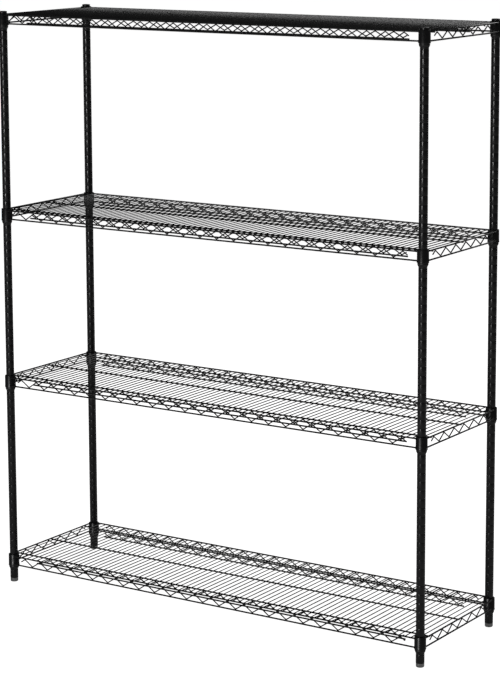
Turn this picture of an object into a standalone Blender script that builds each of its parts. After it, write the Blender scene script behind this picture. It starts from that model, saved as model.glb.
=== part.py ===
"""A free-standing wire shelving rack: four grooved posts, tapered split sleeves and four wire shelves.

Metres, +Z up, +X along the shelves, the long front side towards -Y. The origin is on the floor, under
the middle of the rack. Every shelf is the same welded part, dropped over the posts at its own height.
"""
import math

import bmesh
import bpy
from mathutils import Vector

# Overall sizes
SHELF_LENGTH = 1.524
SHELF_DEPTH = 0.457
GROOVE_PITCH = 0.0254
SHELF_GROOVES = (2, 25, 46, 70)      # the groove that each shelf's sleeves clip into, from the floor up
CLEARANCE = 0.0003                   # left between pieces that touch
WELD_MERGE = 0.000002                # points this close become one where wires are welded together

# Posts
ROUND_SIDES = 12
POST_RADIUS = 0.0127
POST_WALL = 0.0012
POST_ABOVE_TOP_GROOVE = 0.0302
GROOVE_DEPTH = 0.0007
GROOVE_WIDTH = 0.0024

# Post caps and levelling feet
CAP_HEIGHT = 0.0040
CAP_EDGE = 0.0016
CAP_PLUG_LENGTH = 0.0120
FOOT_HEIGHT = 0.0124
FOOT_INSET = 0.0004                  # how much smaller a foot's radius is than the post's
FOOT_EDGE = 0.0025
FOOT_SOCKET_DEPTH = 0.0080
STUD_RADIUS = 0.0047625
STUD_ABOVE_FOOT = 0.0320
STUD_TIP = 0.0010
INSERT_LENGTH = 0.0220

# Split sleeves, from the groove that they clip into
SLEEVE_ABOVE_GROOVE = 0.0258
SLEEVE_BELOW_GROOVE = 0.0205
SLEEVE_WALL_TOP = 0.0014
SLEEVE_TAPER = 0.0007                # how much the radius grows from the collar's top to its bottom
SLEEVE_RIM_STEP = 0.0008
SLEEVE_RIM_DROP = 0.0050
SLEEVE_FOOT_WALL = 0.0006

# Shelves, from the middle of the bottom rail
GROOVE_ABOVE_RAIL = 0.0040
TRUSS_DEPTH = 0.0262
COLLAR_ABOVE_TOP_RAIL = 0.0048
COLLAR_BELOW_RAIL = 0.0064
COLLAR_WALL = 0.0018
COLLAR_FLARE = 0.0005                # how far the collar's lower rim stands out
COLLAR_RIM_HEIGHT = 0.0031
RAIL_RADIUS = 0.0025
RAIL_INSET = 0.0036                  # from the collar's outer side in to the middle of a rail
SNAKE_RADIUS = 0.0020
SNAKE_PITCH = 0.0598
SNAKE_SHORT = 0.0450                 # the least that a snake wire's last bend stops short of the post
DECK_PITCH = 0.01976
DECK_WIRE_WIDTH = 0.0036
DECK_WIRE_DEPTH = 0.0028
INNER_TRUSS_INSET = 0.0470           # from the front rail to the inner truss behind it
INNER_TRUSS_SHORT = 0.0670           # how far short of the post the inner truss's bottom wire ends
INNER_SNAKE_SHORT = 0.0120           # the least that its snake wire's last bend stops short of that end

# Heights and places that follow
POST_BOTTOM = FOOT_HEIGHT + CLEARANCE
POST_TOP = POST_BOTTOM + SHELF_GROOVES[-1] * GROOVE_PITCH + POST_ABOVE_TOP_GROOVE
POST_BORE = POST_RADIUS - POST_WALL
SLEEVE_BORE = POST_RADIUS + CLEARANCE
SLEEVE_TOP_RADIUS = SLEEVE_BORE + SLEEVE_WALL_TOP
COLLAR_BOTTOM = -COLLAR_BELOW_RAIL
COLLAR_TOP = TRUSS_DEPTH + COLLAR_ABOVE_TOP_RAIL
FOOT_RADIUS = POST_RADIUS - FOOT_INSET
COLLAR_BORE = SLEEVE_TOP_RADIUS + SLEEVE_TAPER + CLEARANCE
COLLAR_RADIUS = COLLAR_BORE + COLLAR_WALL
RAIL_OFFSET = COLLAR_RADIUS - RAIL_INSET
RAIL_STOP = math.sqrt((COLLAR_BORE + CLEARANCE) ** 2 - (RAIL_OFFSET - RAIL_RADIUS) ** 2)    # in the collar's wall
POST_X = SHELF_LENGTH / 2 - COLLAR_RADIUS - COLLAR_FLARE
POST_Y = SHELF_DEPTH / 2 - COLLAR_RADIUS - COLLAR_FLARE
RAIL_X = POST_X + RAIL_OFFSET
RAIL_Y = POST_Y + RAIL_OFFSET
RAIL_FLAT = RAIL_RADIUS * math.cos(math.pi / 6)      # half the height of a six-sided rail
DECK_TOP = TRUSS_DEPTH + RAIL_FLAT
INNER_WIRE_Z = DECK_TOP - DECK_WIRE_DEPTH - CLEARANCE - RAIL_FLAT
INNER_TRUSS_Y = RAIL_Y - INNER_TRUSS_INSET
DECK_RAIL_END = POST_X - COLLAR_RADIUS - COLLAR_FLARE - CLEARANCE

CORNERS = {"front_left": (-1, -1), "front_right": (1, -1), "rear_left": (-1, 1), "rear_right": (1, 1)}


def clear_scene():
    for existing in list(bpy.data.objects):
        bpy.data.objects.remove(existing, do_unlink=True)


def make_finish(name, colour, roughness, metallic):
    finish = bpy.data.materials.new(name)
    finish.use_nodes = True
    shader = finish.node_tree.nodes["Principled BSDF"]
    shader.inputs["Base Color"].default_value = (*colour, 1.0)
    shader.inputs["Roughness"].default_value = roughness
    shader.inputs["Metallic"].default_value = metallic
    finish.diffuse_color = (*colour, 1.0)
    return finish


def make_mesh(name, bm, finish, smooth_angle=40):
    """Turns the finished bmesh into a mesh with its faces pointing out and round sides shaded smooth."""
    bmesh.ops.recalc_face_normals(bm, faces=bm.faces)
    mesh = bpy.data.meshes.new(name)
    bm.to_mesh(mesh)
    bm.free()
    mesh.materials.append(finish)
    mesh.shade_smooth()
    mesh.set_sharp_from_angle(angle=math.radians(smooth_angle))
    return mesh


def place(name, mesh, location=(0, 0, 0), parent=None):
    piece = bpy.data.objects.new(name, mesh)
    piece.location = location
    piece.parent = parent
    bpy.context.scene.collection.objects.link(piece)
    return piece


def add_empty(name, location):
    empty = bpy.data.objects.new(name, None)
    empty.location = location
    bpy.context.scene.collection.objects.link(empty)
    return empty


def skin_rings(bm, rings, wrap):
    """Faces between each ring of vertices and the next, and from the last to the first if wrap is set."""
    pairs = list(zip(rings, rings[1:]))
    if wrap:
        pairs.append((rings[-1], rings[0]))
    for lower, upper in pairs:
        for i in range(len(lower)):
            j = (i + 1) % len(lower)
            bm.faces.new((lower[i], lower[j], upper[j], upper[i]))


def turned_ring(bm, profile, centre=(0, 0, 0)):
    """A closed outline of (radius, height) points, turned all round into a hollow ring."""
    spokes = []
    for side in range(ROUND_SIDES):
        angle = 2 * math.pi * side / ROUND_SIDES
        spokes.append([bm.verts.new(Vector(centre) + Vector((r * math.cos(angle), r * math.sin(angle), z)))
                       for r, z in profile])
    skin_rings(bm, spokes, wrap=True)


def turned_solid(bm, profile):
    """An open outline of (radius, height) points, turned all round and closed flat at both ends."""
    rings = []
    for radius, z in profile:
        rings.append([bm.verts.new((radius * math.cos(2 * math.pi * side / ROUND_SIDES),
                                    radius * math.sin(2 * math.pi * side / ROUND_SIDES), z))
                      for side in range(ROUND_SIDES)])
    skin_rings(bm, rings, wrap=False)
    bm.faces.new(rings[0])
    bm.faces.new(rings[-1])


def turned_half(bm, profile, slit):
    """A closed outline turned half round, on the +X side, its two ends kept slit off the YZ plane."""
    spokes = []
    for side in range(ROUND_SIDES // 2 + 1):
        angle = 2 * math.pi * side / ROUND_SIDES - math.pi / 2
        spokes.append([bm.verts.new((max(r * math.cos(angle), slit), r * math.sin(angle), z))
                       for r, z in profile])
    skin_rings(bm, spokes, wrap=False)
    bm.faces.new(spokes[0])
    bm.faces.new(spokes[-1])


def bent_wire(bm, points, radius, sides, plane_normal):
    """A wire with straight legs between points that lie in one plane, mitred at each bend."""
    plane_normal = Vector(plane_normal)
    points = [Vector(point) for point in points]
    legs = [(after - before).normalized() for before, after in zip(points, points[1:])]
    rings = []
    for i, point in enumerate(points):
        before, after = legs[max(i - 1, 0)], legs[min(i, len(legs) - 1)]
        side = plane_normal.cross(before + after).normalized()
        stretch = 1 / side.dot(plane_normal.cross(after))
        rings.append([bm.verts.new(point + side * stretch * radius * math.cos(2 * math.pi * n / sides + math.pi / 2)
                                   + plane_normal * radius * math.sin(2 * math.pi * n / sides + math.pi / 2))
                      for n in range(sides)])
    skin_rings(bm, rings, wrap=False)
    bm.faces.new(rings[0])
    bm.faces.new(rings[-1])


def groove_heights():
    return [POST_BOTTOM + groove * GROOVE_PITCH for groove in SHELF_GROOVES]


def post_mesh(finish):
    """A tube with a V-shaped groove rolled into it at each height where a shelf's sleeves clip in."""
    outside = [(POST_RADIUS, POST_BOTTOM)]
    for z in groove_heights():
        outside += [(POST_RADIUS, z - GROOVE_WIDTH / 2), (POST_RADIUS - GROOVE_DEPTH, z),
                    (POST_RADIUS, z + GROOVE_WIDTH / 2)]
    outside.append((POST_RADIUS, POST_TOP))
    bm = bmesh.new()
    turned_ring(bm, outside + [(POST_BORE, POST_TOP), (POST_BORE, POST_BOTTOM)])
    return make_mesh("post", bm, finish)


def cap_mesh(finish):
    """A low domed cap with a plug that pushes into the top of the post."""
    plug = POST_BORE - CLEARANCE
    seat = POST_TOP + CLEARANCE
    top = POST_TOP + CAP_HEIGHT
    bm = bmesh.new()
    turned_solid(bm, [(plug, POST_TOP - CAP_PLUG_LENGTH), (plug, seat), (POST_RADIUS, seat),
                      (POST_RADIUS, top - CAP_EDGE), (POST_RADIUS - CAP_EDGE, top)])
    return make_mesh("cap", bm, finish)


def insert_mesh(finish):
    """The threaded bush pressed into the bottom of the post, flush with its end."""
    outer, bore = POST_BORE - CLEARANCE, STUD_RADIUS + CLEARANCE
    bm = bmesh.new()
    turned_ring(bm, [(outer, POST_BOTTOM), (outer, POST_BOTTOM + INSERT_LENGTH),
                     (bore, POST_BOTTOM + INSERT_LENGTH), (bore, POST_BOTTOM)])
    return make_mesh("insert", bm, finish)


def stud_mesh(finish):
    """The foot's threaded stud, plain here, from the foot's socket up through the insert."""
    bottom = FOOT_HEIGHT - FOOT_SOCKET_DEPTH + CLEARANCE
    top = FOOT_HEIGHT + STUD_ABOVE_FOOT
    bm = bmesh.new()
    turned_solid(bm, [(STUD_RADIUS, bottom), (STUD_RADIUS, top - STUD_TIP), (STUD_RADIUS - STUD_TIP, top)])
    return make_mesh("stud", bm, finish)


def foot_mesh(finish):
    """The round foot, rounded under its edge, with a blind socket for the stud."""
    socket, floor = STUD_RADIUS + CLEARANCE, FOOT_HEIGHT - FOOT_SOCKET_DEPTH
    bm = bmesh.new()
    turned_solid(bm, [(FOOT_RADIUS - FOOT_EDGE, 0), (FOOT_RADIUS, FOOT_EDGE), (FOOT_RADIUS, FOOT_HEIGHT),
                      (socket, FOOT_HEIGHT), (socket, floor)])
    return make_mesh("foot", bm, finish)


def sleeve_mesh(finish):
    """Half of a split sleeve: a rib inside for the groove, a taper outside for the collar, a rim below."""
    slope = 2 * GROOVE_DEPTH / GROOVE_WIDTH
    rib_tip = POST_RADIUS - GROOVE_DEPTH + CLEARANCE * math.hypot(1, slope)
    rib_half = (SLEEVE_BORE - rib_tip) / slope
    collar_bottom = COLLAR_BOTTOM - GROOVE_ABOVE_RAIL
    bottom_radius = SLEEVE_TOP_RADIUS + SLEEVE_TAPER
    outline = [(SLEEVE_BORE, -SLEEVE_BELOW_GROOVE), (SLEEVE_BORE, -rib_half), (rib_tip, 0),
               (SLEEVE_BORE, rib_half), (SLEEVE_BORE, SLEEVE_ABOVE_GROOVE),
               (SLEEVE_TOP_RADIUS, SLEEVE_ABOVE_GROOVE), (bottom_radius, collar_bottom),
               (bottom_radius + SLEEVE_RIM_STEP, collar_bottom - SLEEVE_RIM_DROP),
               (SLEEVE_BORE + SLEEVE_FOOT_WALL, -SLEEVE_BELOW_GROOVE)]
    bm = bmesh.new()
    turned_half(bm, outline, CLEARANCE / 2)
    return make_mesh("sleeve_half", bm, finish)


def add_collars(bm):
    """Four tapered collars, which drop over the sleeves and lock on their taper."""
    top_bore = SLEEVE_TOP_RADIUS + CLEARANCE
    bottom_bore = top_bore + SLEEVE_TAPER
    outline = [(bottom_bore, COLLAR_BOTTOM), (COLLAR_RADIUS + COLLAR_FLARE, COLLAR_BOTTOM),
               (COLLAR_RADIUS, COLLAR_BOTTOM + COLLAR_RIM_HEIGHT),
               (COLLAR_RADIUS - COLLAR_FLARE / 2, COLLAR_TOP), (top_bore, COLLAR_TOP)]
    for x, y in CORNERS.values():
        turned_ring(bm, outline, (x * POST_X, y * POST_Y, 0))


def add_rails(bm):
    """The rails round the shelf's edge, which run into the outer side of the collars and are welded there."""
    long_end, short_end = POST_X - RAIL_STOP, POST_Y - RAIL_STOP
    for side in (-1, 1):
        bent_wire(bm, [(-long_end, side * RAIL_Y, 0), (long_end, side * RAIL_Y, 0)], RAIL_RADIUS, 6, (0, 1, 0))
        for z in (0, TRUSS_DEPTH):
            bent_wire(bm, [(side * RAIL_X, -short_end, z), (side * RAIL_X, short_end, z)],
                      RAIL_RADIUS, 6, (1, 0, 0))
    for x, y in CORNERS.values():
        bent_wire(bm, [(x * (DECK_RAIL_END + CLEARANCE), y * RAIL_Y, TRUSS_DEPTH),
                       (x * long_end, y * RAIL_Y, TRUSS_DEPTH)], RAIL_RADIUS, 6, (0, 1, 0))


def snake_reach():
    """How far a snake wire's middle stays from a rail's, so that its bends just clear the rail."""
    steepness = math.atan2(TRUSS_DEPTH - 4 * RAIL_RADIUS, SNAKE_PITCH / 2)
    return RAIL_RADIUS + CLEARANCE + SNAKE_RADIUS / math.cos(steepness)


def snake_points(reach, top, begin_high, sunk_in_top):
    """Points of a snake wire, along and up its truss: half waves, then a tail cut half way to the next bend.

    Its outermost bends are sunk into the wire below them, and if asked for into the one above, as welds.
    """
    half_wave = SNAKE_PITCH / 2
    count = int(2 * reach / half_wave)
    high, low = [], []
    for n in range(count + 1):
        kind = high if (n % 2 == 0) == begin_high else low
        kind.append([(n - count / 2) * half_wave, top - snake_reach() if kind is high else snake_reach()])
    if sunk_in_top:
        high[0][1] = high[-1][1] = top - SNAKE_RADIUS
    low[0][1] = low[-1][1] = SNAKE_RADIUS
    tail = (count + 1) * half_wave / 2
    return [(-tail, top / 2)] + sorted(high + low) + [(tail, top / 2)]


def add_snakes(bm):
    """The snake wires in the four outer trusses, from near one collar to near the next."""
    long_snake = snake_points(POST_X - SNAKE_SHORT, TRUSS_DEPTH, True, False)
    short_snake = snake_points(POST_Y - SNAKE_SHORT, TRUSS_DEPTH, True, False)
    for side in (-1, 1):
        across = [(x, side * RAIL_Y, z) for x, z in long_snake]
        along = [(side * RAIL_X, side * y, z) for y, z in short_snake]
        bent_wire(bm, across, SNAKE_RADIUS, 3, (0, -side, 0))
        bent_wire(bm, along, SNAKE_RADIUS, 3, (-1, 0, 0))


def add_inner_trusses(bm):
    """Two lengthwise trusses under the deck: the top wire runs end to end, the bottom wire stops short."""
    end = POST_X - INNER_TRUSS_SHORT
    for side in (-1, 1):
        y = side * INNER_TRUSS_Y
        bent_wire(bm, [(-RAIL_X, y, INNER_WIRE_Z), (RAIL_X, y, INNER_WIRE_Z)], RAIL_RADIUS, 6, (0, 1, 0))
        bent_wire(bm, [(-end, y, 0), (end, y, 0)], RAIL_RADIUS, 6, (0, 1, 0))
        snake = snake_points(end - INNER_SNAKE_SHORT, INNER_WIRE_Z, False, True)
        bent_wire(bm, [(x, y, z) for x, z in snake], SNAKE_RADIUS, 3, (0, 1, 0))


def deck_places():
    """Where the deck wires lie along the shelf, evenly spaced between the two side rails."""
    bays = round(2 * RAIL_X / DECK_PITCH)
    return [-RAIL_X + 2 * RAIL_X * n / bays for n in range(1, bays)]


def clears_collar(x):
    return abs(x) + DECK_WIRE_WIDTH / 2 + CLEARANCE < DECK_RAIL_END


def add_centre_and_end_wires(bm):
    """The centre wire, and the deck wires in line with the collars, which end on the inner trusses."""
    bent_wire(bm, [(-RAIL_X, 0, INNER_WIRE_Z), (RAIL_X, 0, INNER_WIRE_Z)], RAIL_RADIUS, 6, (0, 1, 0))
    z = INNER_WIRE_Z + RAIL_FLAT + DECK_WIRE_DEPTH * 0.3
    for x in deck_places():
        if not clears_collar(x):
            bent_wire(bm, [(x, -INNER_TRUSS_Y, z), (x, INNER_TRUSS_Y, z)], DECK_WIRE_DEPTH / 2, 4, (1, 0, 0))


def welded_mesh(name, bm_parts, finish):
    """Joins shapes that run into each other into one body."""
    first, rest = bm_parts
    base = place(name + "_base", make_mesh(name + "_base", rest, finish))
    tool = place(name + "_tool", make_mesh(name + "_tool", first, finish))
    union = base.modifiers.new("weld", "BOOLEAN")
    union.operation, union.solver, union.use_self, union.object = "UNION", "EXACT", True, tool
    evaluated = base.evaluated_get(bpy.context.evaluated_depsgraph_get())
    bm = bmesh.new()
    bm.from_mesh(evaluated.to_mesh())
    evaluated.to_mesh_clear()
    bmesh.ops.remove_doubles(bm, verts=bm.verts, dist=WELD_MERGE)
    bmesh.ops.dissolve_degenerate(bm, edges=bm.edges, dist=WELD_MERGE)
    for helper in (base, tool):
        bpy.data.objects.remove(helper, do_unlink=True)
    return make_mesh(name, bm, finish)


def frame_mesh(finish):
    collars, wires = bmesh.new(), bmesh.new()
    add_collars(collars)
    add_rails(wires)
    add_snakes(wires)
    add_inner_trusses(wires)
    add_centre_and_end_wires(wires)
    return welded_mesh("shelf_frame", (collars, wires), finish)


def fan_strip(bm, edge, far_start, far_stop):
    """Fills the strip between a row of vertices and the two ends of the plain edge opposite."""
    middle = len(edge) // 2
    bm.faces.new((far_start, far_stop, edge[middle]))
    for n, (before, after) in enumerate(zip(edge, edge[1:])):
        bm.faces.new((before, after, far_start if n < middle else far_stop))


def add_deck_rail(bm, side, wires):
    """One long top rail, with a triangle left open in its inner face for the end of each deck wire."""
    end = DECK_RAIL_END
    inner = side * (RAIL_Y - RAIL_RADIUS * 0.8)
    top, low = DECK_TOP, DECK_TOP - DECK_WIRE_DEPTH
    outline = [(inner, top), (inner, low), (side * RAIL_Y, TRUSS_DEPTH - RAIL_RADIUS),
               (side * (RAIL_Y + RAIL_RADIUS), TRUSS_DEPTH), (side * (RAIL_Y + RAIL_RADIUS / 2), top)]
    start = [bm.verts.new((-end, y, z)) for y, z in outline]
    stop = [bm.verts.new((end, y, z)) for y, z in outline]
    mouths = [[bm.verts.new((x - DECK_WIRE_WIDTH / 2, inner, top)), bm.verts.new((x, inner, low)),
               bm.verts.new((x + DECK_WIRE_WIDTH / 2, inner, top))] for x in wires]
    bm.faces.new(start)
    bm.faces.new(stop)
    top_edge = [start[0]] + [vert for mouth in mouths for vert in (mouth[0], mouth[2])] + [stop[0]]
    low_edge = [start[1]] + [mouth[1] for mouth in mouths] + [stop[1]]
    fan_strip(bm, top_edge, start[4], stop[4])
    fan_strip(bm, low_edge, start[2], stop[2])
    bm.faces.new((start[2], stop[2], stop[3], start[3]))
    bm.faces.new((start[3], stop[3], stop[4], start[4]))
    for n, lower in enumerate(low_edge[:-1]):
        bm.faces.new((lower, low_edge[n + 1], top_edge[2 * n + 1], top_edge[2 * n]))
    return mouths


def deck_mesh(finish):
    """The front and rear top rails with the deck wires between them, flush with their tops."""
    wires = [x for x in deck_places() if clears_collar(x)]
    bm = bmesh.new()
    front, rear = add_deck_rail(bm, -1, wires), add_deck_rail(bm, 1, wires)
    for near, far in zip(front, rear):
        skin_rings(bm, [near, far], wrap=False)
    return make_mesh("shelf_deck", bm, finish)


def build_uprights(coat, plastic, zinc):
    """The posts with what stays on them: caps, foot inserts, feet and the sleeves for all four shelves."""
    shapes = {"post": post_mesh(coat), "cap": cap_mesh(plastic), "foot_insert": insert_mesh(zinc),
              "foot_stud": stud_mesh(zinc), "foot_base": foot_mesh(zinc)}
    sleeve = sleeve_mesh(plastic)
    for corner, (x, y) in CORNERS.items():
        middle = (x * POST_X, y * POST_Y)
        for name, mesh in shapes.items():
            place(f"{name}_{corner}", mesh, (*middle, 0))
        for number, z in enumerate(groove_heights(), start=1):
            outer = place(f"sleeve_{number}_{corner}_outer", sleeve, (*middle, z))
            inner = place(f"sleeve_{number}_{corner}_inner", sleeve, (*middle, z))
            turned_away = inner if x > 0 else outer
            turned_away.rotation_euler.z = math.pi


def build_shelves(coat):
    frame, deck = frame_mesh(coat), deck_mesh(coat)
    for number, z in enumerate(groove_heights(), start=1):
        shelf = add_empty(f"shelf_{number}", (0, 0, z - GROOVE_ABOVE_RAIL))
        place(f"shelf_{number}_frame", frame, parent=shelf)
        place(f"shelf_{number}_deck", deck, parent=shelf)


clear_scene()
black_epoxy = make_finish("black epoxy coat", (0.012, 0.012, 0.014), 0.35, 0.0)
black_plastic = make_finish("black plastic", (0.014, 0.014, 0.015), 0.45, 0.0)
zinc_plate = make_finish("zinc plate", (0.40, 0.40, 0.41), 0.35, 1.0)
build_uprights(black_epoxy, black_plastic, zinc_plate)
build_shelves(black_epoxy)
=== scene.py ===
import math

import bmesh
import bpy
from mathutils import Matrix, Vector


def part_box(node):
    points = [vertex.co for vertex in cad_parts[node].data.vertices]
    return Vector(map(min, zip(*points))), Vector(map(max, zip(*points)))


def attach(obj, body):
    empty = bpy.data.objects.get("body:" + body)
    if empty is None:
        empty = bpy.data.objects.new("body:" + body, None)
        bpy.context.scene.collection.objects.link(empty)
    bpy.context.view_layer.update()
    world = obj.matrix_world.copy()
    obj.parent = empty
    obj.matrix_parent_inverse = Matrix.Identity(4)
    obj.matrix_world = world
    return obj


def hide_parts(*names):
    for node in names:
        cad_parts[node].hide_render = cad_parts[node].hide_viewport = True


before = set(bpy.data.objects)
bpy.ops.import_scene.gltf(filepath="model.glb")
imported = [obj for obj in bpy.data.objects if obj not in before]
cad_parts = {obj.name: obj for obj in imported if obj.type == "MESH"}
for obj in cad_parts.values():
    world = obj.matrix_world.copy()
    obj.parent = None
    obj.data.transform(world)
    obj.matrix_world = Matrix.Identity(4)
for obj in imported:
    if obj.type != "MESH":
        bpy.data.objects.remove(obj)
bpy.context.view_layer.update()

CORNERS = ("front_left", "front_right", "rear_left", "rear_right")
SHELVES = (1, 2, 3, 4)

# ---------------------------------------------------------------------------------------------------
# Posts. Four tubes of one inch steel, 1.2 mm thick, standing in the corners. A V-shaped groove is rolled
# into them at every inch of height, so that a shelf can be set at any of them. They are coated all over
# in glossy black epoxy powder, which leaves a faint orange peel and rounds the edges of the grooves.
POST_RADIUS = 0.0127
POST_WALL = 0.0012
POST_SIDES = 32
GROOVE_PITCH = 0.0254
GROOVE_DEPTH = 0.0005
GROOVE_PROFILE = ((-0.0013, 0.0), (-0.0008, 0.25), (-0.0003, 0.85), (0.0, 1.0),
                  (0.0003, 0.85), (0.0008, 0.25), (0.0013, 0.0))    # height, and share of the depth
POST_EDGE = 0.0003                   # the tube's cut ends, rounded over by the coating

post_low, post_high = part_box("post_front_left")
post_places = {}
for corner in CORNERS:
    low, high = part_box("post_" + corner)
    post_places[corner] = Vector(((low.x + high.x) / 2, (low.y + high.y) / 2, 0))


def draw_out(ring, outline):
    """Extrudes the selected ring, now at (radius, height), to each next (radius, height) about the Z axis."""
    radius, height = ring
    for next_radius, next_height in outline:
        bpy.ops.mesh.extrude_region_move(TRANSFORM_OT_translate={"value": (0, 0, next_height - height)})
        bpy.ops.transform.resize(value=(next_radius / radius, next_radius / radius, 1),
                                 center_override=(0, 0, next_height))
        radius, height = next_radius, next_height


def start_ring(name, sides, radius, height, filled=False):
    """A new piece that is only a circle about the Z axis, left in edit mode with the circle selected."""
    bpy.ops.object.select_all(action="DESELECT")
    bpy.ops.mesh.primitive_circle_add(vertices=sides, radius=radius, location=(0, 0, height),
                                      fill_type="NGON" if filled else "NOTHING")
    piece = bpy.context.object
    piece.name = piece.data.name = name
    bpy.ops.object.transform_apply()
    bpy.ops.object.mode_set(mode="EDIT")
    bpy.ops.mesh.select_mode(type="VERT")
    bpy.ops.mesh.select_all(action="SELECT")
    return piece


def close_up(angle=38):
    """Merges the piece's doubled points, turns its faces outwards and smooths its rounded edges."""
    bpy.ops.object.mode_set(mode="EDIT")
    bpy.ops.mesh.select_all(action="SELECT")
    bpy.ops.mesh.remove_doubles(threshold=0.000004)
    bpy.ops.mesh.normals_make_consistent(inside=False)
    bpy.ops.object.mode_set(mode="OBJECT")
    bpy.ops.object.shade_smooth_by_angle(angle=math.radians(angle))


def turn_ring(name, sides, outline):
    """A hollow round piece: a closed outline of (radius, height) carried round the Z axis."""
    piece = start_ring(name, sides, *outline[0])
    draw_out(outline[0], list(outline[1:]) + [outline[0]])
    close_up()
    return piece


def turn_solid(name, sides, outline):
    """A solid round piece: an open outline of (radius, height), closed flat at its two ends."""
    piece = start_ring(name, sides, *outline[0], filled=True)
    draw_out(outline[0], outline[1:])
    close_up()
    return piece


def copy_of(piece, name, offset):
    copied = piece.copy()
    copied.data = piece.data.copy()
    copied.name = copied.data.name = name
    copied.data.transform(Matrix.Translation(offset))
    bpy.context.scene.collection.objects.link(copied)
    return copied


def fit(piece, finish, slot, body, *nodes):
    """Gives a finished piece its material and hands it to the frame."""
    piece.data.materials.clear()
    piece.data.materials.append(finish)
    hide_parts(*nodes)
    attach(piece, body)


def linear(colour):
    """A linear RGBA colour from an sRGB hex string."""
    channels = [int(colour[i:i + 2], 16) / 255 for i in (1, 3, 5)]
    return tuple(c / 12.92 if c <= 0.04045 else ((c + 0.055) / 1.055) ** 2.4 for c in channels) + (1.0,)


def add_node(material, kind, settings=None, values=None, links=None):
    """Adds a node, with its settings, its sockets' values, and links from (node, output) to its sockets."""
    tree = material.node_tree
    node = tree.nodes.new(kind)
    for name, value in (settings or {}).items():
        setattr(node, name, value)
    for name, value in (values or {}).items():
        node.inputs[name].default_value = value
    for name, (source, output) in (links or {}).items():
        tree.links.new(source.outputs[output], node.inputs[name])
    return node


def new_material(name):
    material = bpy.data.materials.new(name)
    material.use_nodes = True
    return material, material.node_tree.nodes["Principled BSDF"]


# Epoxy powder coat, baked on: a hard, glossy, nearly black film that flows out into a fine orange peel,
# with peaks about 1.5 mm apart, and is a shade uneven where it is thinner over an edge.
powder_coat, shader = new_material("epoxy_powder_coat_black")
place = add_node(powder_coat, "ShaderNodeTexCoord")
film = add_node(powder_coat, "ShaderNodeTexNoise", {"noise_dimensions": "3D"},
                {"Scale": 1 / 0.012, "Detail": 3.0, "Roughness": 0.55}, {"Vector": (place, "Object")})
tint = add_node(powder_coat, "ShaderNodeMix", {"data_type": "RGBA"},
                {"A": linear("#080809"), "B": linear("#101012")}, {"Factor": (film, "Fac")})
gloss = add_node(powder_coat, "ShaderNodeMapRange", None,
                 {"From Min": 0.3, "From Max": 0.7, "To Min": 0.20, "To Max": 0.30}, {"Value": (film, "Fac")})
peel = add_node(powder_coat, "ShaderNodeTexNoise", {"noise_dimensions": "3D"},
                {"Scale": 1 / 0.0015, "Detail": 1.0, "Roughness": 0.4}, {"Vector": (place, "Object")})
peaks = add_node(powder_coat, "ShaderNodeBump", None, {"Strength": 0.25, "Distance": 0.00006},
                 {"Height": (peel, "Fac")})
powder_coat.node_tree.links.new(tint.outputs["Result"], shader.inputs["Base Color"])
powder_coat.node_tree.links.new(gloss.outputs["Result"], shader.inputs["Roughness"])
powder_coat.node_tree.links.new(peaks.outputs["Normal"], shader.inputs["Normal"])
shader.inputs["IOR"].default_value = 1.5
shader.inputs["Specular IOR Level"].default_value = 0.5

groove = [(POST_RADIUS - GROOVE_DEPTH * share, height) for height, share in GROOVE_PROFILE]
post = start_ring("post_front_left", POST_SIDES, POST_RADIUS, 0)
draw_out((POST_RADIUS, 0), [(r, GROOVE_PITCH / 2 + z) for r, z in groove] + [(POST_RADIUS, GROOVE_PITCH)])
bpy.ops.object.mode_set(mode="OBJECT")
groove_count = int((post_high.z - post_low.z) / GROOVE_PITCH)
repeat = post.modifiers.new("grooves", "ARRAY")
repeat.count = groove_count - 1
repeat.use_relative_offset = False
repeat.use_constant_offset = True
repeat.constant_offset_displace = (0, 0, GROOVE_PITCH)
repeat.use_merge_vertices = True
repeat.merge_threshold = 0.000005
bpy.ops.object.modifier_apply(modifier=repeat.name)
first_pitch = post_low.z + GROOVE_PITCH / 2          # the lowest groove is one pitch above the post's end
post.data.transform(Matrix.Translation((0, 0, first_pitch)))
grooved_top = first_pitch + (groove_count - 1) * GROOVE_PITCH
bpy.ops.object.mode_set(mode="EDIT")
bpy.ops.mesh.select_all(action="DESELECT")
shell = bmesh.from_edit_mesh(post.data)
for vert in shell.verts:
    vert.select = abs(vert.co.z - grooved_top) < 0.00001
shell.select_flush(True)
bmesh.update_edit_mesh(post.data)
last_groove = post_low.z + groove_count * GROOVE_PITCH
bore = POST_RADIUS - POST_WALL
draw_out((POST_RADIUS, grooved_top),
         [(r, last_groove + z) for r, z in groove]
         + [(POST_RADIUS, post_high.z - POST_EDGE), (POST_RADIUS - POST_EDGE, post_high.z),
            (bore, post_high.z), (bore, post_low.z), (POST_RADIUS - POST_EDGE, post_low.z),
            (POST_RADIUS, post_low.z + POST_EDGE), (POST_RADIUS, first_pitch)])
close_up()

for corner in CORNERS[1:]:
    other = copy_of(post, "upright_" + corner, post_places[corner])
    fit(other, powder_coat, "black_epoxy", "uprights", "post_" + corner)
post.name = post.data.name = "upright_front_left"
post.data.transform(Matrix.Translation(post_places["front_left"]))
fit(post, powder_coat, "black_epoxy", "uprights", "post_front_left")

# ---------------------------------------------------------------------------------------------------
# Post caps. Low buttons of moulded black nylon, pushed into the tops of the posts by a hollow plug. Their
# edge is rounded over and their top is very slightly crowned.
CAP_CROWN = 0.0006
CAP_ROUND = 0.0016
CAP_SIDES = 32

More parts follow.
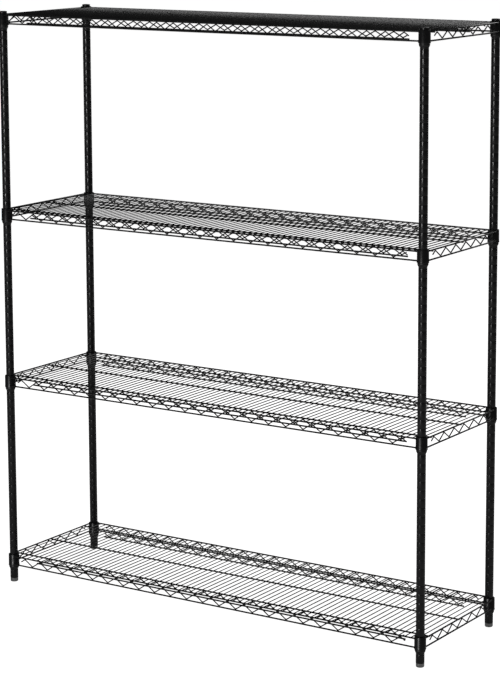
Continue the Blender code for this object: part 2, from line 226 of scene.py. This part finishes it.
cap_low, cap_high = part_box("cap_front_left")
plug = bore - 0.0003
seat = post_high.z + 0.0003
shoulder = cap_high.z - CAP_CROWN - CAP_ROUND
round_over = [(POST_RADIUS - CAP_ROUND * (1 - math.cos(math.radians(a))),
               shoulder + CAP_ROUND * math.sin(math.radians(a))) for a in (0, 22, 45, 68, 90)]
cap = turn_solid("cap", CAP_SIDES,
                 [(plug - 0.0005, cap_low.z), (plug, cap_low.z + 0.0008), (plug, seat), (POST_RADIUS, seat)]
                 + round_over + [(0.0065, cap_high.z - CAP_CROWN * 0.25), (0.0020, cap_high.z)])

# Moulded nylon: black through and through, satin, with a fine sparked grain about 0.8 mm across that
# softens the highlight, and slightly greyer where the tool was polished less.
nylon, shader = new_material("moulded_nylon_black")
place = add_node(nylon, "ShaderNodeTexCoord")
flow = add_node(nylon, "ShaderNodeTexNoise", None, {"Scale": 1 / 0.009, "Detail": 2.0},
                {"Vector": (place, "Object")})
tint = add_node(nylon, "ShaderNodeMix", {"data_type": "RGBA"},
                {"A": linear("#0d0d0e"), "B": linear("#161617")}, {"Factor": (flow, "Fac")})
gloss = add_node(nylon, "ShaderNodeMapRange", None,
                 {"From Min": 0.3, "From Max": 0.7, "To Min": 0.38, "To Max": 0.50}, {"Value": (flow, "Fac")})
grain = add_node(nylon, "ShaderNodeTexNoise", None, {"Scale": 1 / 0.0008, "Detail": 2.0},
                 {"Vector": (place, "Object")})
sparked = add_node(nylon, "ShaderNodeBump", None, {"Strength": 0.3, "Distance": 0.00008},
                   {"Height": (grain, "Fac")})
nylon.node_tree.links.new(tint.outputs["Result"], shader.inputs["Base Color"])
nylon.node_tree.links.new(gloss.outputs["Result"], shader.inputs["Roughness"])
nylon.node_tree.links.new(sparked.outputs["Normal"], shader.inputs["Normal"])
shader.inputs["IOR"].default_value = 1.53
shader.inputs["Specular IOR Level"].default_value = 0.5

for corner in CORNERS[1:]:
    other = copy_of(cap, "post_cap_" + corner, post_places[corner])
    fit(other, nylon, "black_plastic", "uprights", "cap_" + corner)
cap.name = cap.data.name = "post_cap_front_left"
cap.data.transform(Matrix.Translation(post_places["front_left"]))
fit(cap, nylon, "black_plastic", "uprights", "cap_front_left")

# ---------------------------------------------------------------------------------------------------
# Levelling feet. A round steel foot on a 3/8 inch stud, sixteen threads to the inch, screws into a bush
# pressed into the post's lower end. All three are turned and bright zinc plated, a soft light grey metal.
FOOT_RADIUS = 0.0123
FOOT_ROUND = 0.0026
FOOT_SIDES = 40
THREAD_PITCH = 0.0015875
THREAD_DEPTH = 0.0009
STUD_RADIUS = 0.0047625
STUD_SIDES = 20

foot_low, foot_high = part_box("foot_base_front_left")
stud_low, stud_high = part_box("foot_stud_front_left")
socket = STUD_RADIUS + 0.0003
heel = [(FOOT_RADIUS - FOOT_ROUND * (1 - math.sin(math.radians(a))),
         foot_low.z + FOOT_ROUND * (1 - math.cos(math.radians(a)))) for a in (0, 20, 40, 60, 90)]
foot = turn_solid("levelling_foot", FOOT_SIDES,
                  [(FOOT_RADIUS - FOOT_ROUND - 0.0008, foot_low.z + 0.00025),
                   (FOOT_RADIUS - FOOT_ROUND - 0.0003, foot_low.z)] + heel
                  + [(FOOT_RADIUS, foot_high.z - 0.0007), (FOOT_RADIUS - 0.0007, foot_high.z),
                     (socket, foot_high.z), (socket, stud_low.z - 0.0003)])

stud = start_ring("levelling_stud", STUD_SIDES, STUD_RADIUS - 0.0008, stud_low.z, filled=True)
thread_rows = round((stud_high.z - stud_low.z - 0.0016) / (THREAD_PITCH / 6))
row_height = (stud_high.z - stud_low.z - 0.0016) / thread_rows
draw_out((STUD_RADIUS - 0.0008, stud_low.z),
         [(STUD_RADIUS, stud_low.z + 0.0008 + row_height * row) for row in range(thread_rows + 1)]
         + [(STUD_RADIUS - 0.0008, stud_high.z)])
bpy.ops.object.mode_set(mode="OBJECT")
for vert in stud.data.vertices:
    if math.hypot(vert.co.x, vert.co.y) > STUD_RADIUS - 0.0001:
        turns = (vert.co.z - stud_low.z) / THREAD_PITCH - math.atan2(vert.co.y, vert.co.x) / math.tau
        root = abs(turns % 1 - 0.5) * 2              # 0 on the thread's crest and 1 at its root
        sink = 1 - THREAD_DEPTH * min(max(root * 1.3 - 0.15, 0), 1) / STUD_RADIUS
        vert.co.x *= sink
        vert.co.y *= sink
close_up(angle=50)

bush_low, bush_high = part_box("foot_insert_front_left")
bush = turn_ring("threaded_bush", POST_SIDES,
                 [(bore - 0.0003, bush_low.z + 0.0004), (bore - 0.0003, bush_high.z), (socket, bush_high.z),
                  (socket, bush_low.z + 0.0006), (socket + 0.0006, bush_low.z), (bore - 0.0007, bush_low.z)])

# Bright zinc plate over turned steel: a light grey metal, a little cloudy in patches some 3 mm across, with
# fine turning lines round the piece, about 0.35 mm apart.
zinc, shader = new_material("zinc_plate_over_turned_steel")
place = add_node(zinc, "ShaderNodeTexCoord")
cloud = add_node(zinc, "ShaderNodeTexNoise", None, {"Scale": 1 / 0.003, "Detail": 3.0},
                 {"Vector": (place, "Object")})
tint = add_node(zinc, "ShaderNodeMix", {"data_type": "RGBA"},
                {"A": linear("#8f9091"), "B": linear("#b4b5b4")}, {"Factor": (cloud, "Fac")})
gloss = add_node(zinc, "ShaderNodeMapRange", None,
                 {"From Min": 0.3, "From Max": 0.7, "To Min": 0.32, "To Max": 0.48},
                 {"Value": (cloud, "Fac")})
lines = add_node(zinc, "ShaderNodeTexWave", {"wave_type": "BANDS", "bands_direction": "Z"},
                 {"Scale": 1 / 0.007, "Distortion": 0.6, "Detail": 1.0}, {"Vector": (place, "Object")})
turned = add_node(zinc, "ShaderNodeBump", None, {"Strength": 0.2, "Distance": 0.00005},
                  {"Height": (lines, "Fac")})
zinc.node_tree.links.new(tint.outputs["Result"], shader.inputs["Base Color"])
zinc.node_tree.links.new(gloss.outputs["Result"], shader.inputs["Roughness"])
zinc.node_tree.links.new(turned.outputs["Normal"], shader.inputs["Normal"])
shader.inputs["Metallic"].default_value = 1.0

for corner in CORNERS:
    at = post_places[corner]
    foot_base, foot_stud = "foot_base_" + corner, "foot_stud_" + corner
    fit(copy_of(foot, "levelling_foot_" + corner, at), zinc, "zinc_plate", foot_base, foot_base)
    fit(copy_of(stud, "levelling_stud_" + corner, at), zinc, "zinc_plate", foot_stud, foot_stud)
    fit(copy_of(bush, "threaded_bush_" + corner, at), zinc, "zinc_plate", "uprights", "foot_insert_" + corner)
for pattern in (foot, stud, bush):
    bpy.data.objects.remove(pattern, do_unlink=True)

# ---------------------------------------------------------------------------------------------------
# Split sleeves. Each is two halves of moulded black nylon, clipped round the post so that a rib inside
# drops into the groove. The outside tapers, thicker below, and the shelf's collar wedges down onto it. Under
# the collar the sleeve swells into a rounded rim and then closes in on the post.
SLEEVE_BORE = POST_RADIUS + 0.0003
SLEEVE_TOP_RADIUS = 0.0144
SLEEVE_TAPER = 0.0007
SLEEVE_RIB = 0.0004                  # how far the rib reaches into the groove
SLEEVE_SPLIT = 0.0003                # the gap between the two halves
SLEEVE_RIM_RADIUS = 0.0159
SLEEVE_END_RADIUS = 0.0136
SLEEVE_SIDES = 40
COLLAR_BOTTOM = 0.0101               # the collar's lower edge, above the sleeve's
RIB_HEIGHT = 0.0205                  # the groove's middle, above the sleeve's lower end

sleeve_low, sleeve_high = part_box("sleeve_1_front_left_outer")
sleeve_length = sleeve_high.z - sleeve_low.z
sleeve = turn_ring("sleeve", SLEEVE_SIDES,
                   [(SLEEVE_BORE, 0), (SLEEVE_BORE, RIB_HEIGHT - 0.0012),
                    (SLEEVE_BORE - SLEEVE_RIB, RIB_HEIGHT),
                    (SLEEVE_BORE, RIB_HEIGHT + 0.0012), (SLEEVE_BORE, sleeve_length),
                    (SLEEVE_TOP_RADIUS - 0.0004, sleeve_length), (SLEEVE_TOP_RADIUS, sleeve_length - 0.0006),
                    (SLEEVE_TOP_RADIUS + SLEEVE_TAPER, COLLAR_BOTTOM),
                    (SLEEVE_TOP_RADIUS + SLEEVE_TAPER + 0.0001, COLLAR_BOTTOM - 0.0012),
                    (SLEEVE_RIM_RADIUS - 0.0002, COLLAR_BOTTOM - 0.0022),
                    (SLEEVE_RIM_RADIUS, COLLAR_BOTTOM - 0.0036),
                    (SLEEVE_RIM_RADIUS - 0.0002, COLLAR_BOTTOM - 0.0050),
                    (SLEEVE_END_RADIUS + 0.0004, 0.0008), (SLEEVE_END_RADIUS, 0)])

for half, side in (("inner", 1), ("outer", -1)):
    piece = copy_of(sleeve, "sleeve_half", (0, 0, 0))
    bpy.ops.object.select_all(action="DESELECT")
    bpy.context.view_layer.objects.active = piece
    piece.select_set(True)
    bpy.ops.object.mode_set(mode="EDIT")
    bpy.ops.mesh.select_all(action="SELECT")
    bpy.ops.mesh.bisect(plane_co=(side * SLEEVE_SPLIT / 2, 0, 0), plane_no=(side, 0, 0), use_fill=True,
                        clear_inner=True)
    close_up()
    for corner in CORNERS:
        outward = -1 if "left" in corner else 1
        node = {1: "outer", -1: "inner"}[side * outward]
        for shelf in SHELVES:
            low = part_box(f"sleeve_{shelf}_{corner}_{node}")[0]
            at = post_places[corner] + Vector((0, 0, low.z))
            other = copy_of(piece, f"sleeve_half_{shelf}_{corner}_{node}", at)
            fit(other, nylon, "black_plastic", "uprights", f"sleeve_{shelf}_{corner}_{node}")
    bpy.data.objects.remove(piece, do_unlink=True)
bpy.data.objects.remove(sleeve, do_unlink=True)

# ---------------------------------------------------------------------------------------------------
# Shelf collars. A short tapered steel tube in each corner of a shelf, with a thicker lip below, drops over
# the sleeve. The rails are welded end-on to its outer side, and the epoxy lies thicker and rougher over it.
TRUSS_DEPTH = 0.0262                 # from the middle of the bottom rail to the middle of the top rail
DECK_TOP = 0.028365                  # the top of the deck wires above the middle of the bottom rail
COLLAR_LOW = -0.0064
COLLAR_HIGH = 0.0310
COLLAR_RADIUS = 0.0172
COLLAR_SIDES = 40

collar = turn_ring("collar", COLLAR_SIDES,
                   [(SLEEVE_TOP_RADIUS + SLEEVE_TAPER + 0.0003, COLLAR_LOW),
                    (COLLAR_RADIUS + 0.0001, COLLAR_LOW), (COLLAR_RADIUS + 0.0005, COLLAR_LOW + 0.0006),
                    (COLLAR_RADIUS + 0.0005, COLLAR_LOW + 0.0022),
                    (COLLAR_RADIUS, COLLAR_LOW + 0.0031), (COLLAR_RADIUS - 0.00025, COLLAR_HIGH - 0.0008),
                    (COLLAR_RADIUS - 0.0008, COLLAR_HIGH - 0.0001), (SLEEVE_TOP_RADIUS + 0.0006, COLLAR_HIGH),
                    (SLEEVE_TOP_RADIUS + 0.0003, COLLAR_HIGH - 0.0003)])

# Epoxy powder over a rough pressed tube: the same black film, thicker, in soft lumps about 3 mm across that
# break the highlight into patches.
coated_collar, shader = new_material("epoxy_powder_coat_over_pressed_collar")
place = add_node(coated_collar, "ShaderNodeTexCoord")
lump = add_node(coated_collar, "ShaderNodeTexNoise", None,
                {"Scale": 1 / 0.003, "Detail": 2.0, "Roughness": 0.5}, {"Vector": (place, "Object")})
tint = add_node(coated_collar, "ShaderNodeMix", {"data_type": "RGBA"},
                {"A": linear("#0b0b0c"), "B": linear("#161618")}, {"Factor": (lump, "Fac")})
gloss = add_node(coated_collar, "ShaderNodeMapRange", None,
                 {"From Min": 0.3, "From Max": 0.7, "To Min": 0.26, "To Max": 0.40}, {"Value": (lump, "Fac")})
uneven = add_node(coated_collar, "ShaderNodeBump", None, {"Strength": 0.5, "Distance": 0.0003},
                  {"Height": (lump, "Fac")})
coated_collar.node_tree.links.new(tint.outputs["Result"], shader.inputs["Base Color"])
coated_collar.node_tree.links.new(gloss.outputs["Result"], shader.inputs["Roughness"])
coated_collar.node_tree.links.new(uneven.outputs["Normal"], shader.inputs["Normal"])
shader.inputs["IOR"].default_value = 1.5
shader.inputs["Specular IOR Level"].default_value = 0.5

shelf_heights = {shelf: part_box(f"shelf_{shelf}_deck")[1].z - DECK_TOP for shelf in SHELVES}
for shelf in SHELVES:
    for corner in CORNERS:
        at = post_places[corner] + Vector((0, 0, shelf_heights[shelf]))
        other = copy_of(collar, f"collar_{shelf}_{corner}", at)
        fit(other, coated_collar, "black_epoxy", f"shelf_{shelf}", f"shelf_{shelf}_frame")
bpy.data.objects.remove(collar, do_unlink=True)

# ---------------------------------------------------------------------------------------------------
# Shelf edges. Each side of a shelf is a flat truss: a top and a bottom rail of 5 mm wire, with a 3.8 mm
# wire bent into a snake between them and welded to them at every bend. The rails are cut to length and
# welded end-on to the flanks of the collars. The snake stops well short of the collars, half way to a bend.
RAIL_RADIUS = 0.0025
RAIL_SIDES = 12
RAIL_INSET = 0.0036                  # from the collar's outer side in to the middle of a rail
RAIL_STOP = 0.0108                   # from the post's middle to a rail's end
WIRE_CUT = 0.0003                    # the rounding of a wire's cut end
SNAKE_RADIUS = 0.0019
SNAKE_SIDES = 8
SNAKE_BEND = 0.0050                  # radius of a bend, to the middle of the wire
SNAKE_WELD = 0.0002                  # how far a bend sinks into the rail at its weld
SNAKE_PITCH = 0.0598
SNAKE_SHORT = 0.0450                 # the least that the last bend stops short of the post

post_x, post_y = abs(post_places["front_left"].x), abs(post_places["front_left"].y)
rail_x = post_x + COLLAR_RADIUS - RAIL_INSET
rail_y = post_y + COLLAR_RADIUS - RAIL_INSET


def straight_wire(name, radius, sides, start, end):
    """A straight round wire with its two cut ends softened."""
    start, end = Vector(start), Vector(end)
    along = end - start
    bpy.ops.object.select_all(action="DESELECT")
    bpy.ops.mesh.primitive_cylinder_add(vertices=sides, radius=radius, depth=along.length,
                                        end_fill_type="NGON",
                                        location=(start + end) / 2,
                                        rotation=along.to_track_quat("Z", "Y").to_euler())
    piece = bpy.context.object
    piece.name = piece.data.name = name
    bpy.ops.object.transform_apply()
    bpy.ops.object.mode_set(mode="EDIT")
    ends = bmesh.from_edit_mesh(piece.data)
    for face in ends.faces:
        face.select = abs(face.normal.dot(along.normalized())) > 0.9
    ends.select_flush_mode()
    bmesh.update_edit_mesh(piece.data)
    bpy.ops.mesh.bevel(offset=WIRE_CUT, segments=1)
    bpy.ops.object.mode_set(mode="OBJECT")
    bpy.ops.object.shade_smooth_by_angle(angle=math.radians(50))
    return piece


def snake_wire(name, reach, low, high, begin_high):
    """A wire along the X axis bent into half waves, each bend a true arc, cut off half way to the next."""
    half = SNAKE_PITCH / 2
    count = int(2 * reach / half)
    slope = 0.5                      # of the straight legs, in radians; settled by repeating
    for _ in range(30):
        slope = math.atan2(high - low - 2 * SNAKE_BEND * (1 - math.cos(slope)),
                           half - 2 * SNAKE_BEND * math.sin(slope))
    leg = (half - 2 * SNAKE_BEND * math.sin(slope)) / math.cos(slope)
    rising = 1 if begin_high else -1
    start = (-(count + 1) * half / 2, 0, (low + high) / 2)
    bpy.ops.object.select_all(action="DESELECT")
    bpy.ops.mesh.primitive_circle_add(vertices=SNAKE_SIDES, radius=SNAKE_RADIUS, fill_type="NGON",
                                      location=start, rotation=(0, math.pi / 2 - rising * slope, 0))
    piece = bpy.context.object
    piece.name = piece.data.name = name
    bpy.ops.object.transform_apply()
    bpy.ops.object.mode_set(mode="EDIT")
    bpy.ops.mesh.select_all(action="SELECT")
    for n in range(count + 1):
        run = leg / 2 if n == 0 else leg
        bpy.ops.mesh.extrude_region_move(
            TRANSFORM_OT_translate={"value": (math.cos(slope) * run, 0, rising * math.sin(slope) * run)})
        centre_z = high - SNAKE_BEND if rising > 0 else low + SNAKE_BEND
        bpy.ops.mesh.spin(steps=4, angle=-2 * rising * slope, center=((n - count / 2) * half, 0, centre_z),
                          axis=(0, 1, 0))
        rising = -rising
    bpy.ops.mesh.extrude_region_move(
        TRANSFORM_OT_translate={"value": (math.cos(slope) * leg / 2, 0, rising * math.sin(slope) * leg / 2)})
    close_up(angle=60)
    return piece


def join(name, pieces):
    bpy.ops.object.select_all(action="DESELECT")
    for piece in pieces:
        piece.select_set(True)
    bpy.context.view_layer.objects.active = pieces[0]
    bpy.ops.object.join()
    pieces[0].name = pieces[0].data.name = name
    return pieces[0]


weld = RAIL_RADIUS + SNAKE_RADIUS - SNAKE_WELD
edges = {}
for name, side in (("front", -rail_y), ("rear", rail_y)):
    end = post_x - RAIL_STOP
    rails = [straight_wire("rail", RAIL_RADIUS, RAIL_SIDES, (-end, side, z), (end, side, z))
             for z in (0, TRUSS_DEPTH)]
    snake = snake_wire("snake", post_x - SNAKE_SHORT, weld, TRUSS_DEPTH - weld, True)
    snake.data.transform(Matrix.Translation((0, side, 0)))
    edges[name] = join(name, rails + [snake])
for name, side, quarter in (("left", -rail_x, -1), ("right", rail_x, 1)):
    end = post_y - RAIL_STOP
    rails = [straight_wire("rail", RAIL_RADIUS, RAIL_SIDES, (side, -end, z), (side, end, z))
             for z in (0, TRUSS_DEPTH)]
    snake = snake_wire("snake", post_y - SNAKE_SHORT, weld, TRUSS_DEPTH - weld, True)
    snake.data.transform(Matrix.Translation((side, 0, 0)) @ Matrix.Rotation(quarter * math.pi / 2, 4, "Z"))
    edges[name] = join(name, rails + [snake])

for shelf in SHELVES:
    for name, edge in edges.items():
        other = copy_of(edge, f"edge_truss_{shelf}_{name}", (0, 0, shelf_heights[shelf]))
        fit(other, powder_coat, "black_epoxy", f"shelf_{shelf}", f"shelf_{shelf}_frame")
for edge in edges.values():
    bpy.data.objects.remove(edge, do_unlink=True)

# ---------------------------------------------------------------------------------------------------
# Inner trusses and centre wire. Two lighter trusses run the length of the shelf under the deck wires, and
# one plain wire runs down the middle. The trusses' bottom wire and snake stop short of the ends.
INNER_TRUSS_INSET = 0.0470
INNER_TRUSS_SHORT = 0.0670           # how far short of the post the bottom wire ends
INNER_SNAKE_SHORT = 0.0120           # the least that the snake's last bend stops short of that end
INNER_WIRE_Z = 0.0231

short_end = post_x - INNER_TRUSS_SHORT
inner_y = rail_y - INNER_TRUSS_INSET
inner = {}
for name, side in (("front", -inner_y), ("rear", inner_y)):
    parts = [straight_wire("top", RAIL_RADIUS, RAIL_SIDES,
                           (-rail_x, side, INNER_WIRE_Z), (rail_x, side, INNER_WIRE_Z)),
             straight_wire("bottom", RAIL_RADIUS, RAIL_SIDES, (-short_end, side, 0), (short_end, side, 0))]
    snake = snake_wire("snake", short_end - INNER_SNAKE_SHORT, weld, INNER_WIRE_Z - weld, False)
    snake.data.transform(Matrix.Translation((0, side, 0)))
    inner[name] = join(name, parts + [snake])
centre = straight_wire("centre_wire", RAIL_RADIUS, RAIL_SIDES,
                       (-rail_x, 0, INNER_WIRE_Z), (rail_x, 0, INNER_WIRE_Z))

for shelf in SHELVES:
    height = Vector((0, 0, shelf_heights[shelf]))
    for name, truss in inner.items():
        other = copy_of(truss, f"inner_truss_{shelf}_{name}", height)
        fit(other, powder_coat, "black_epoxy", f"shelf_{shelf}", f"shelf_{shelf}_frame")
    other = copy_of(centre, f"centre_wire_{shelf}", height)
    fit(other, powder_coat, "black_epoxy", f"shelf_{shelf}", f"shelf_{shelf}_frame")
for pattern in list(inner.values()) + [centre]:
    bpy.data.objects.remove(pattern, do_unlink=True)

# ---------------------------------------------------------------------------------------------------
# Deck wires. Seventy-odd straight 3.2 mm wires cross each shelf from the front top rail to the rear one,
# welded over the inner trusses and the centre wire, with their tops level with the rails. The outermost one
# at each end would foul the collars, so it is cut short and ends on the inner trusses.
DECK_WIRE_RADIUS = 0.0016
DECK_WIRE_SIDES = 8
DECK_PITCH = 0.01976

deck_z = DECK_TOP - DECK_WIRE_RADIUS
deck_count = 2 * math.floor((rail_x - RAIL_RADIUS) / DECK_PITCH - 0.5) + 2
places = [(n - (deck_count - 1) / 2) * DECK_PITCH for n in range(deck_count)]
full = [x for x in places if abs(x) + DECK_WIRE_RADIUS < post_x - COLLAR_RADIUS - 0.0005]
short = [x for x in places if x not in full]
wires = []
for x_places, reach in ((full, rail_y), (short, inner_y + RAIL_RADIUS)):
    for x in x_places:
        wires.append(straight_wire("wire", DECK_WIRE_RADIUS, DECK_WIRE_SIDES,
                                   (x, -reach, deck_z), (x, reach, deck_z)))
deck = join("deck", wires)
for shelf in SHELVES:
    other = copy_of(deck, f"deck_wires_{shelf}", (0, 0, shelf_heights[shelf]))
    fit(other, powder_coat, "black_epoxy", f"shelf_{shelf}", f"shelf_{shelf}_deck")
bpy.data.objects.remove(deck, do_unlink=True)

# ---------------------------------------------------------------------------------------------------
# Studio. A white floor that runs out into white air, with dim light all round, so that the glossy black
# stays black. A tall narrow light in front draws a line down each post, and a wide one high at the back
# greys the tops of the wires.
bpy.ops.object.select_all(action="DESELECT")
bpy.ops.mesh.primitive_circle_add(vertices=96, radius=60.0, fill_type="NGON", location=(0, 0, 0))
floor = bpy.context.object
floor.name = "floor"
floor_paint, shader = new_material("white_floor")
place = add_node(floor_paint, "ShaderNodeTexCoord")
scuff = add_node(floor_paint, "ShaderNodeTexNoise", None, {"Scale": 1.5, "Detail": 2.0},
                 {"Vector": (place, "Object")})
tint = add_node(floor_paint, "ShaderNodeMix", {"data_type": "RGBA"},
                {"A": linear("#f7f7f7"), "B": linear("#fafafa")}, {"Factor": (scuff, "Fac")})
floor_paint.node_tree.links.new(tint.outputs["Result"], shader.inputs["Base Color"])
shader.inputs["Roughness"].default_value = 0.9
shader.inputs["Specular IOR Level"].default_value = 0.1
shader.inputs["Emission Color"].default_value = (1.0, 1.0, 1.0, 1.0)
ray = add_node(floor_paint, "ShaderNodeLightPath")
lift = add_node(floor_paint, "ShaderNodeMapRange", None, {"To Min": 0.03, "To Max": 0.93},
                {"Value": (ray, "Is Camera Ray")})
floor_paint.node_tree.links.new(lift.outputs["Result"], shader.inputs["Emission Strength"])
floor.data.materials.append(floor_paint)

world = bpy.data.worlds.new("studio_air")
bpy.context.scene.world = world
world.use_nodes = True
air = world.node_tree.nodes["Background"]
air.inputs["Color"].default_value = (1.0, 1.0, 1.0, 1.0)
ray = world.node_tree.nodes.new("ShaderNodeLightPath")
glow = world.node_tree.nodes.new("ShaderNodeMapRange")
glow.inputs["To Min"].default_value = 0.08           # what lights the rack
glow.inputs["To Max"].default_value = 1.1            # what is seen behind it
world.node_tree.links.new(ray.outputs["Is Camera Ray"], glow.inputs["Value"])
world.node_tree.links.new(glow.outputs["Result"], air.inputs["Strength"])


def soft_light(name, place, target, width, height, power):
    lamp = bpy.data.lights.new(name, "AREA")
    lamp.shape = "RECTANGLE"
    lamp.size, lamp.size_y, lamp.energy = width, height, power
    light = bpy.data.objects.new(name, lamp)
    bpy.context.scene.collection.objects.link(light)
    light.location = place
    light.rotation_euler = (Vector(target) - Vector(place)).to_track_quat("-Z", "Y").to_euler()


soft_light("key_light", (0.2, -7.1, 1.9), (0, 0, 1.3), 0.5, 2.2, 130)
soft_light("overhead_light", (0.4, 4.6, 4.9), (0, 0, 1.8), 4.0, 2.0, 85)

# Camera, at a standing height in front of the rack's right-hand end.
camera_data = bpy.data.cameras.new("camera")
camera = bpy.data.objects.new("camera", camera_data)
bpy.context.scene.collection.objects.link(camera)
camera_data.lens = 122.4
camera_data.sensor_width = 36.0
camera_data.shift_y = -0.1706
camera_data.clip_end = 400.0
yaw, pitch, roll = math.radians(33.498), math.radians(8.69), math.radians(-0.248)
camera.location = (3.8093, -5.7119, 2.2466)
camera.rotation_euler = (Matrix.Rotation(yaw, 3, "Z") @ Matrix.Rotation(math.pi / 2 - pitch, 3, "X")
                         @ Matrix.Rotation(roll, 3, "Z")).to_euler()
bpy.context.scene.camera = camera
bpy.context.scene.view_settings.view_transform = "Standard"
